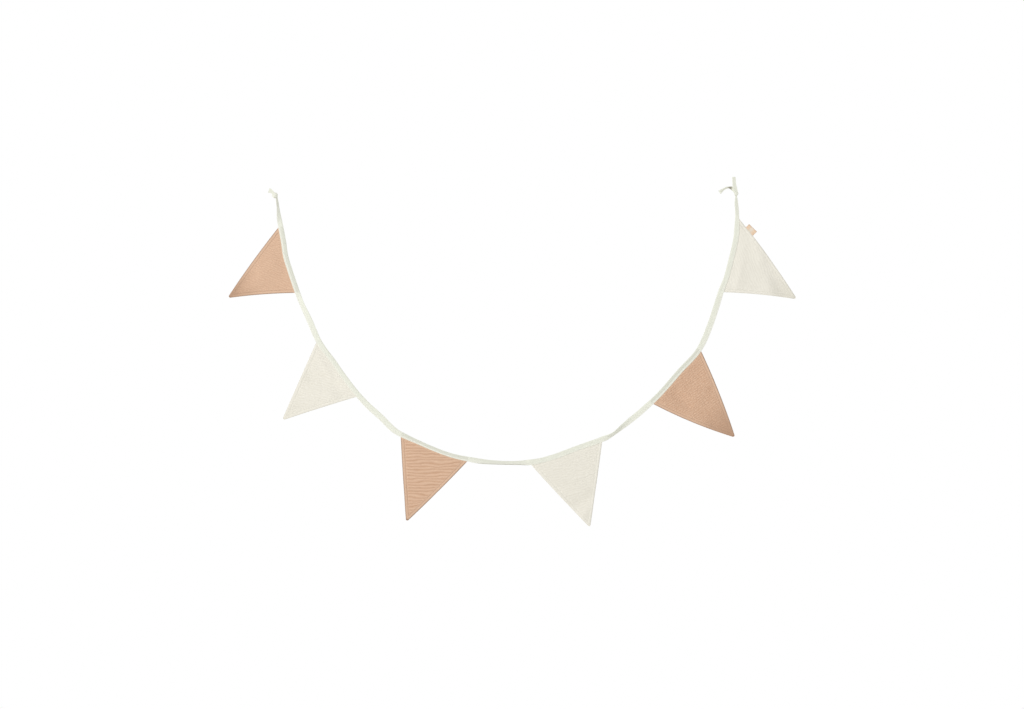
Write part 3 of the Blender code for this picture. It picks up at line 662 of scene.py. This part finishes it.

# Each sloping side is a curve from its corner in the tape through its middle to the tip.  grain:
# direction of the crinkle from +X in degrees; lift: how far the tip stands forward; pitch, height,
# run: the ridges' spacing, height and length; pebble: how far the ridges break up into short puffs;
# dense: how far the cloth is darkened towards the tip, partly by the seam allowances that overlap
# there and partly as painted shade; flat: the cloth's size in metres
FLAG_COLUMNS = ("name", "cloth", "middle_a", "tip", "middle_b", "grain", "lift",
                "pitch", "height", "run", "pebble", "dense", "flat_width", "flat_length")
FLAGS = (
    ("flag_1", "tan", (-602, -155), (-664, -248), (-574, -241), -21, 5,
     5.2, 0.34, 12, 0.45, 1.0, 0.161, 0.170),
    ("flag_2", "cream", (-491, -438), (-534, -541), (-435, -511), -17, -4,
     5.8, 0.29, 14, 0.45, 0.2, 0.160, 0.181),
    ("flag_3", "tan", (-247, -676), (-237.5, -784), (-158, -710), 0, 4,
     7.4, 0.60, 46, 0.10, 0.1, 0.169, 0.187),
    ("flag_4", "cream", (122, -718), (201, -798), (219, -685), 16, -5,
     5.8, 0.31, 15, 0.45, 0.0, 0.177, 0.190),
    ("flag_5", "tan", (439, -545), (547.5, -582.5), (508, -468), 37, 6,
     5.0, 0.60, 13, 0.60, 1.0, 0.169, 0.203),
    ("flag_6", "cream", (599, -241), (695.5, -250.5), (595.5, -105), -69, -4,
     6.4, 0.14, 22, 0.30, 0.7, 0.179, 0.190),
)

# Soft folds across the flags.  Columns: flag, start and end of the fold's line, half its width, and
# how far it lies back or, where negative, stands out
FOLDS = (
    ("flag_1", (-655, -243), (-604, -196), 11, 2.6),
    ("flag_1", (-640, -239), (-522, -231), 9, 1.8),
    ("flag_1", (-620, -222), (-566, -176), 26, -3.0),
    ("flag_2", (-466, -444), (-400, -452), 18, 4.4),
    ("flag_2", (-512, -502), (-420, -486), 20, -2.6),
    ("flag_2", (-446, -392), (-420, -440), 9, -1.8),
    ("flag_3", (-248, -724), (-168, -716), 20, 4.8),
    ("flag_3", (-232, -640), (-130, -656), 20, -2.4),
    ("flag_3", (-236, -768), (-200, -746), 12, -1.6),
    ("flag_4", (160, -752), (224, -722), 18, 4.8),
    ("flag_4", (96, -676), (206, -664), 22, -2.6),
    ("flag_4", (186, -776), (206, -742), 9, -1.8),
    ("flag_5", (388, -462), (436, -506), 15, 4.6),
    ("flag_5", (500, -560), (541, -578), 14, 3.4),
    ("flag_5", (440, -520), (486, -446), 18, -2.4),
    ("flag_6", (600, -112), (636, -222), 16, -2.6),
    ("flag_6", (560, -122), (556, -214), 18, -2.6),
    ("flag_6", (628, -178), (668, -238), 20, 4.6),
)


def curve_through(start, middle, end, steps):
    """Quadratic curve from start to end that passes through the middle point."""
    start, middle, end = (np.array(p, dtype=float) for p in (start, middle, end))
    first = np.linalg.norm(middle - start)
    share = first / (first + np.linalg.norm(end - middle))
    pull = (middle - (1 - share) ** 2 * start - share ** 2 * end) / (2 * share * (1 - share))
    t = np.linspace(0.0, 1.0, steps + 1)[:, None]
    return (1 - t) ** 2 * start + 2 * t * (1 - t) * pull + t * t * end


def puffs(phase):
    """Rounded ridges with sharp valleys between them, from -1 to 1, one for each whole phase."""
    return 2 * np.abs(np.cos(math.pi * phase)) - 1


class Flag:
    """Outline, folds, crinkle and thickness of one flag."""

    def __init__(self, number, row):
        self.number = number
        for column, value in zip(FLAG_COLUMNS, row):
            setattr(self, column, value)
        self.corner_a, self.corner_b, _ = FLAGS_IN_TAPE[number - 1]
        self.start = float(line.nearest(self.corner_a)[0])
        self.end = float(line.nearest(self.corner_b)[0])
        tip = np.array(self.tip, dtype=float)
        way_a = unit(np.array(self.middle_a) - tip)
        way_b = unit(np.array(self.middle_b) - tip)
        self.inward = unit(way_a + way_b)
        self.sine = math.sin(0.5 * math.acos(float(np.dot(way_a, way_b))))
        self.tip_centre = tip + self.inward * FLAG_TIP_RADIUS
        top = 0.5 * (line.place(self.start) + line.place(self.end))
        self.height_down = float(np.linalg.norm(tip - top))
        self.edge = np.vstack((self.side("a", 0.0), self.side("b", 0.0)[::-1]))
        self.folds = [fold[1:] for fold in FOLDS if fold[0] == self.name]

    def into(self, side):
        """Unit vector into the flag, square to one sloping side."""
        corner = self.corner_a if side == "a" else self.corner_b
        along = unit(np.array(self.tip, dtype=float) - np.array(corner))
        square = np.array((along[1], -along[0]))
        return square if np.dot(square, self.inward) > 0 else -square

    def head(self, s):
        """Place just below the tape's open edge."""
        return line.below(s, line.value(s, "inner") + GAP)

    def head_station(self, side, inset):
        """Arc length where the line that lies inset from a side meets the tape."""
        corner, step = (self.start, 0.2) if side == "a" else (self.end, -0.2)
        s = corner
        while np.dot(self.head(s) - self.head(corner), self.into(side)) < inset:
            s += step
        return s

    def side(self, side, inset):
        """Points from the tape to the tip, on the curve that lies inset from one sloping side."""
        start = self.head(self.head_station(side, inset))
        middle = np.array(self.middle_a if side == "a" else self.middle_b) + self.into(side) * inset
        if inset < FLAG_TIP_RADIUS:
            end = self.tip_centre - self.into(side) * (FLAG_TIP_RADIUS - inset)
        else:
            end = self.tip_centre + self.inward * (inset - FLAG_TIP_RADIUS) / self.sine
        return curve_through(start, middle, end, FLAG_ROWS)

    def drape(self, points, below):
        """How far the flag's middle lies back from the plane of the tape."""
        below = np.maximum(below - GAP, 0.0)
        back = -self.lift * (below / self.height_down) ** 2
        for start, end, reach, sink in self.folds:
            gap = gaps_to_line(points, np.array((start, end), dtype=float))[0]
            back += sink * np.exp(-(gap / reach) ** 2) * ease(below / FLAG_FOLDS_BELOW)
        return back

    def grained(self, points):
        """Places in the cloth's own axes: along the crinkle and across it."""
        turn = math.radians(self.grain)
        along = points @ np.array((math.cos(turn), math.sin(turn)))
        across = points @ np.array((-math.sin(turn), math.cos(turn)))
        return along, across

    def surface(self, points, face):
        """Depth of one face of the flag at each point, with the shares of its painted shade there."""
        inset, along_edge = gaps_to_line(points, self.edge)
        below = line.depth_below(points)
        along, across = self.grained(points)
        seed = 10.0 * self.number + face

        # Ridges run along the grain and bend, and where the cloth is pebbled they break into puffs
        bend = cloth_noise(along / self.run, across / (2.2 * self.pitch), seed)
        bend += 0.4 * cloth_noise(along / (0.4 * self.run), across / (1.1 * self.pitch), seed + 3)
        ridges = puffs(across / self.pitch + 0.6 * bend)
        breaks = puffs(along / (1.5 * self.pitch) + 0.9 * cloth_noise(along / 9, across / 7, seed + 5))
        pebbled = np.minimum(ridges, breaks)
        crinkle = (1 - self.pebble) * ridges + self.pebble * pebbled
        full = 0.85 + 0.5 * cloth_noise(along / 26, across / 17, seed + 7)
        fine = FINE_CRINKLE * cloth_noise(along / 2.6, across / 1.7, seed + 9)

        # The crinkle is flattened by the seam, faint on the turned edge, and begins below the tape
        clear = ease((below - 2 * GAP) / FLAG_SWELL)
        field = ease((inset - FLAG_SEAM - 0.5) / 3.5)
        band = 0.3 * ease((inset - 1.0) / 3.0)
        show = np.maximum(field, band) * clear
        raised = show * (self.height * full * crinkle + fine)
        pucker = PUCKER_HEIGHT * np.sin(along_edge / SEAM_PUCKER_SPACING
                                        + wander(along_edge, 2.5, 11, seed + 11))
        near_seam = np.exp(-((inset - FLAG_SEAM) / SEAM_PUCKER_SPREAD) ** 2)
        raised += pucker * near_seam * ease((below - 1) / 3)
        half = np.interp(inset, *zip(*FLAG_HALF))
        half = clear * half + (1 - clear) * np.minimum(FLAG_HALF_IN_TAPE, half)
        raised *= ease(inset / 1.2)
        depth = self.drape(points, below) + face * (half + raised)
        # Painted shade in the troughs of the crinkle
        trough_shade = show * np.clip(0.5 - 0.5 * crinkle, 0.0, 1.0) * self.height / DEEPEST_CRINKLE
        # Painted shade along the turned edge and in the groove of the topstitching
        rim_shade = np.exp(-(inset / 1.7) ** 2) + 0.35 * np.exp(-((inset - FLAG_SEAM) / 0.9) ** 2)
        # Darker towards the tip: partly the overlapping seam allowances, partly painted shade
        dense = self.dense * ease((below / self.height_down - 0.42) / 0.55)
        return depth, {"trough_shade": trough_shade, "rim_shade": rim_shade * clear, "dense": dense}


def flat_mesh(flag):
    """The points and faces of one layer of the flag, in its plane."""
    points = []
    faces = []

    def add(places):
        first = len(points)
        points.extend(np.atleast_2d(places).tolist())
        return list(range(first, len(points)))

    # From the edge inwards: down side a, round the tip and down side b
    rings = []
    stations_a = [flag.head_station("a", inset) for inset in INSETS]
    stations_b = [flag.head_station("b", inset) for inset in INSETS]
    for inset in INSETS:
        ring_a = add(flag.side("a", inset))
        side_b = flag.side("b", inset)
        if inset < FLAG_TIP_RADIUS:
            ring_b = add(side_b)
            share = np.linspace(0, 1, TIP_STEPS + 1)[1:-1, None]
            way = unit(-flag.into("a") * (1 - share) - flag.into("b") * share)
            arc = add(flag.tip_centre + way * (FLAG_TIP_RADIUS - inset))
        else:
            ring_b = add(side_b[:-1]) + [ring_a[-1]]
            arc = []
        rings.append((ring_a, [ring_a[-1], *arc, ring_b[-1]], ring_b))
    for outer, inner in zip(rings, rings[1:]):
        for k in (0, 2):
            for i in range(FLAG_ROWS):
                faces.append((outer[k][i], outer[k][i + 1], inner[k][i + 1], inner[k][i]))
        outer_tip, inner_tip = outer[1], inner[1]
        if len(inner_tip) > 2:
            for i in range(TIP_STEPS):
                faces.append((outer_tip[i], outer_tip[i + 1], inner_tip[i + 1], inner_tip[i]))
        elif len(outer_tip) > 2:
            for i in range(TIP_STEPS):
                faces.append((outer_tip[i], outer_tip[i + 1], inner_tip[0]))

    # Inside the last ring: rows across, which straighten from the tape's curve towards the tip
    left, right = rings[-1][0], rings[-1][2]
    ends = np.array(points)
    head_stations = np.linspace(stations_a[-1], stations_b[-1], FLAG_ROWS + 1)
    bow_place = np.linspace(0, 1, FLAG_ROWS + 1)
    chord = ends[left[0]] + bow_place[:, None] * (ends[right[0]] - ends[left[0]])
    bow = flag.head(head_stations) - chord
    rows = []
    for i in range(FLAG_ROWS):
        share = np.linspace(0, 1, FLAG_ROWS - i + 1)[1:-1]
        across = ends[left[i]] + share[:, None] * (ends[right[i]] - ends[left[i]])
        fade = (1 - i / FLAG_ROWS) ** 2
        across += fade * at_length(share, bow_place, bow)
        middle = add(across) if len(across) else []
        rows.append([left[i], *middle, right[i]])
    rows.append([left[-1]])
    for upper, lower in zip(rows, rows[1:]):
        for j in range(len(lower)):
            faces.append((upper[j], upper[j + 1], lower[j]))
        for j in range(len(lower) - 1):
            faces.append((upper[j + 1], lower[j + 1], lower[j]))

    head = [ring[0][0] for ring in rings] + rows[0][1:-1] + [ring[2][0] for ring in reversed(rings)]
    head_s = np.concatenate((stations_a, head_stations[1:-1], stations_b[::-1]))
    tab = add(line.below(head_s, FLAG_TOP))
    for i in range(len(head) - 1):
        faces.append((tab[i], tab[i + 1], head[i + 1], head[i]))
    return np.array(points), faces


def open_edges(faces):
    """Edges that only one face uses."""
    uses = {}
    for face in faces:
        for a, b in zip(face, face[1:] + face[:1]):
            uses.setdefault(frozenset((a, b)), []).append((a, b))
    return [pairs[0] for pairs in uses.values() if len(pairs) == 1]


# Double muslin: two open-weave layers tacked together, which pucker between the tacks when they are
# washed, so the ridges catch the light.  The troughs, the turned edges and the topstitch grooves are
# painted darker as shade, and the tips are darker, partly from the overlapping seam allowances and
# partly as painted shade
flag_muslins = {
    "tan": woven_cotton(
        "tan_crinkled_double_muslin", "#DEBCA1", "#D2AE92", 0.25, "flat_cloth", (0.0, 0.0, 0.0),
        (("trough_shade", "#B98C6C", 0.7), ("rim_shade", "#7C5C47", 0.8), ("dense", "#B18F76", 0.85))),
    "cream": woven_cotton(
        "cream_crinkled_double_muslin", "#EEEADF", "#E5E1D4", 0.25, "flat_cloth", (0.0, 0.0, 0.0),
        (("trough_shade", "#CFC8B7", 0.6), ("rim_shade", "#C9C5B5", 0.3), ("dense", "#C6C2B2", 0.6))),
}
flag_threads = {"tan": tan_thread, "cream": cream_thread}

flags = [Flag(number, row) for number, row in enumerate(FLAGS, 1)]
for flag in flags:
    flat, faces = flat_mesh(flag)
    count = len(flat)
    along, across = flag.grained(flat)
    sides, shares, maps = [], [], []
    for face in (FRONT, BACK):
        depth, share = flag.surface(flat, face)
        sides.append(np.column_stack((flat[:, 0], depth, flat[:, 1])))
        shares.append(share)
        maps.append(np.column_stack((along + face * FLAG_BACK_SHIFT_ON_MAP, across)))
    all_faces = list(faces)
    all_faces += [tuple(i + count for i in reversed(face)) for face in faces]
    all_faces += [(b, a, a + count, b + count) for a, b in open_edges(faces)]
    values = {title: np.concatenate([share[title] for share in shares]) for title in shares[0]}
    cloth = add_cloth(flag.name + "_cloth", np.vstack(sides), all_faces, np.vstack(maps), values)
    turn_faces_out(cloth)
    cloth.data.materials.append(flag_muslins[flag.cloth])

    places, ways, outs = [], [], []
    for side in ("a", "b"):
        track = flag.side(side, FLAG_SEAM)
        run = arc_lengths(track)
        spots = np.arange(FLAG_FIRST_STITCH, run[-1] - 0.5, STITCH_PITCH)
        middle = at_length(spots, run, track)
        way = unit(at_length(spots + 0.8, run, track) - middle)
        for face in (FRONT, BACK):
            here = flag.surface(middle, face)[0]
            ahead = flag.surface(middle + way, face)[0]
            lifted = here + face * STITCH_ABOVE_FLAG
            places.append(np.column_stack((middle[:, 0], lifted, middle[:, 1])))
            ways.append(unit(np.column_stack((way[:, 0], ahead - here, way[:, 1]))))
            outs.append(np.tile((0.0, float(face), 0.0), (len(spots), 1)))
    ways = np.vstack(ways)
    outs = square_to(ways, np.vstack(outs))
    stitches = add_stitches(flag.name + "_topstitching", np.vstack(places), ways, outs,
                            flag_threads[flag.cloth])

    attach(cloth, "root")
    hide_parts(flag.name)

# The label
# A short piece of peach ribbon, folded in half and caught in the upper seam of the last flag.
# Both sides are bare.
LABEL_FOOT = (584.4, -91.0)
LABEL_TURN = math.radians(-44.5)
LABEL_LENGTH = 26.0
LABEL_SEWN_IN = 3.5
LABEL_COLUMNS = 26
LABEL_LAYER = 0.42
LABEL_CURL = 0.35
LABEL_CURL_RUN = 10
LABEL_SELVEDGE_FROM = 0.44
LABEL_BEND_FROM = 10.2
LABEL_PALE_SHARE = 0.2
LABEL_BACK_SHIFT_ON_MAP = 100

# Middle of the ribbon from one sewn-in end to the other: distance out of the flag, y
LABEL_ROUTE = (
    (-LABEL_SEWN_IN, -0.25), (0.0, -0.28), (3.0, -0.45), (6.0, -0.8), (8.5, -1.35), (10.6, -1.95),
    (11.7, -2.15), (12.2, -1.75), (11.9, -1.2), (10.6, -1.05), (8.5, -0.75), (6.0, -0.3),
    (3.0, 0.1), (0.0, 0.26), (-LABEL_SEWN_IN, 0.25),
)

label_along = np.array((math.cos(LABEL_TURN), math.sin(LABEL_TURN)))
label_out = np.array((-label_along[1], label_along[0]))
foot = np.array([LABEL_FOOT])
level = float(flags[-1].drape(foot, line.depth_below(foot))[0])
route = smooth_rows(LABEL_ROUTE, 4)
square = unit(np.gradient(route, axis=0))
square = np.column_stack((-square[:, 1], square[:, 0]))
label_points, label_uvs, label_edge_shade, label_middles = [], [], [], []
run = arc_lengths(route)
for column in np.linspace(-0.5, 0.5, LABEL_COLUMNS + 1):
    half = LABEL_LAYER / 2 * (1 if abs(column) < 0.49 else 0.5)
    curl = LABEL_CURL * math.sin(5.5 * column + 1.0)
    for side in (-1, 1):
        walk = slice(None) if side < 0 else slice(None, None, -1)
        middle = route[walk] + side * half * square[walk]
        places = foot[0] + label_along * column * LABEL_LENGTH + middle[:, :1] * label_out
        depth = level + middle[:, 1] + curl * ease(middle[:, 0] / LABEL_CURL_RUN)
        label_points.append(np.column_stack((places[:, 0], depth, places[:, 1])))
        label_uvs.append(np.column_stack((run[walk] + side * LABEL_BACK_SHIFT_ON_MAP,
                                          np.full(len(run), column * LABEL_LENGTH))))
        # Painted shade on the edges and on the bend of the fold
        label_edge_shade.append(np.maximum(ease((abs(column) - LABEL_SELVEDGE_FROM) / 0.05),
                                      ease((middle[:, 0] - LABEL_BEND_FROM) / 1.2)))
        label_middles.append(np.full(len(run), math.exp(-(column / LABEL_PALE_SHARE) ** 2)))
label_faces = ring_faces(LABEL_COLUMNS + 1, 2 * len(route))
label = add_cloth("ribbon_label", np.vstack(label_points), label_faces, np.vstack(label_uvs),
                  {"edge": np.concatenate(label_edge_shade), "middle": np.concatenate(label_middles)})

# Woven ribbon: a closer, smoother weave than the muslin's, with fine ribs across it and a soft gleam.
# Its middle is paler, and its edges and the bend are painted darker as shade.
RIB_SPACING = 0.9
FLECK_SIZE = 9.0
ribbon, ribbon_tree, ribbon_shader = new_material("peach_woven_ribbon", {
    "Roughness": 0.72, "Specular IOR Level": 0.35, "Sheen Weight": 0.2})
ribbon_map = add_node(ribbon_tree, "ShaderNodeUVMap", uv_map="flat_cloth").outputs["UV"]
ribs = add_node(ribbon_tree, "ShaderNodeTexWave",
                {"Vector": ribbon_map, "Scale": band_scale(RIB_SPACING), "Distortion": 0.4},
                wave_type="BANDS", bands_direction="X").outputs["Fac"]
flecks = add_node(ribbon_tree, "ShaderNodeTexNoise",
                  {"Vector": ribbon_map, "Scale": 1 / (FLECK_SIZE * MM), "Detail": 3.0}).outputs["Fac"]
ribbon_tone = add_node(ribbon_tree, "ShaderNodeMix",
                       {0: flecks, 6: linear("#DFC2A2"), 7: linear("#EFD3B8")},
                       data_type="RGBA").outputs[2]
ribbon_tone = tinted(ribbon_tree, ribbon_tone, (("middle", "#E6DED0", 0.8), ("edge", "#C29A78", 0.5)))
ribbon_tree.links.new(ribbon_tone, ribbon_shader.inputs["Base Color"])
ribbon_bump = add_node(ribbon_tree, "ShaderNodeBump",
                       {"Height": ribs, "Strength": 0.4, "Distance": 0.15 * MM})
ribbon_tree.links.new(ribbon_bump.outputs["Normal"], ribbon_shader.inputs["Normal"])
label.data.materials.append(ribbon)
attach(label, "root")
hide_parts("label")

# The studio
# A plain white floor below the bunting, a white world that is brighter behind it than in front, and
# one large soft lamp high on the left, so that the crinkle shows.  A weak one lights the backs.
FLOOR_LEVEL = -2.0
FLOOR_RADIUS = 5.0
bpy.ops.object.select_all(action="DESELECT")
bpy.ops.mesh.primitive_circle_add(vertices=96, radius=FLOOR_RADIUS, fill_type="NGON",
                                  location=(0.0, 0.0, FLOOR_LEVEL))
floor = bpy.context.object
floor.name = "studio_floor"
paper = new_material("white_studio_paper", {"Base Color": linear("#F7F7F5"), "Roughness": 0.9})[0]
floor.data.materials.append(paper)

world = bpy.data.worlds.new("white_studio")
world.use_nodes = True
world_tree = world.node_tree
background = world_tree.nodes["Background"]
sky = add_node(world_tree, "ShaderNodeTexCoord").outputs["Generated"]
sky_axes = add_node(world_tree, "ShaderNodeSeparateXYZ", {"Vector": sky}).outputs
behind = add_node(world_tree, "ShaderNodeMapRange", {
    "Value": sky_axes["Y"], "From Min": -0.2, "From Max": 0.6, "To Min": 0.5, "To Max": 1.0},
    interpolation_type="SMOOTHSTEP").outputs["Result"]
below = add_node(world_tree, "ShaderNodeMapRange", {
    "Value": sky_axes["Z"], "From Min": -0.02, "From Max": 0.25, "To Min": 0.78, "To Max": 0.5},
    interpolation_type="SMOOTHSTEP").outputs["Result"]
strength = add_node(world_tree, "ShaderNodeMath", {0: behind, 1: below}, operation="MAXIMUM").outputs[0]
world_tree.links.new(strength, background.inputs["Strength"])
background.inputs["Color"].default_value = (1.0, 1.0, 1.0, 1.0)
bpy.context.scene.world = world
bpy.context.scene.view_settings.view_transform = "Standard"

# Lamps.  Columns: name, place, size, watts
LAMPS = (
    ("front_lamp", (-4.8, -6.9, 4.0), 2.4, 392.0),
    ("back_lamp", (4.2, 4.6, 1.6), 1.8, 60.0),
)
MIDDLE = Vector((0.0, 0.0, -0.42))
for name, place, size, watts in LAMPS:
    lamp_data = bpy.data.lights.new(name, "AREA")
    lamp_data.size = size
    lamp_data.energy = watts
    lamp = bpy.data.objects.new(name, lamp_data)
    lamp.location = place
    lamp.rotation_euler = (MIDDLE - Vector(place)).to_track_quat("-Z", "Y").to_euler()
    bpy.context.scene.collection.objects.link(lamp)

# The camera stands square in front, so that one pixel is 2.4 mm in the flags' plane, and the middle
# between the two knots lies at the same pixel as in the photo
PIXEL = 2.4 * MM
PHOTO_WIDTH = 1024
PHOTO_HEIGHT = 709
KNOTS_MIDDLE = (505.85, 193.65)
CAMERA_AWAY = 5.8
camera_data = bpy.data.cameras.new("camera")
camera_data.sensor_width = 36.0
camera_data.lens = camera_data.sensor_width * CAMERA_AWAY / (PHOTO_WIDTH * PIXEL)
camera = bpy.data.objects.new("camera", camera_data)
camera.location = ((PHOTO_WIDTH / 2 - KNOTS_MIDDLE[0]) * PIXEL, -CAMERA_AWAY,
                   (KNOTS_MIDDLE[1] - PHOTO_HEIGHT / 2) * PIXEL)
camera.rotation_euler = (math.radians(90), 0.0, 0.0)
bpy.context.scene.collection.objects.link(camera)
bpy.context.scene.camera = camera
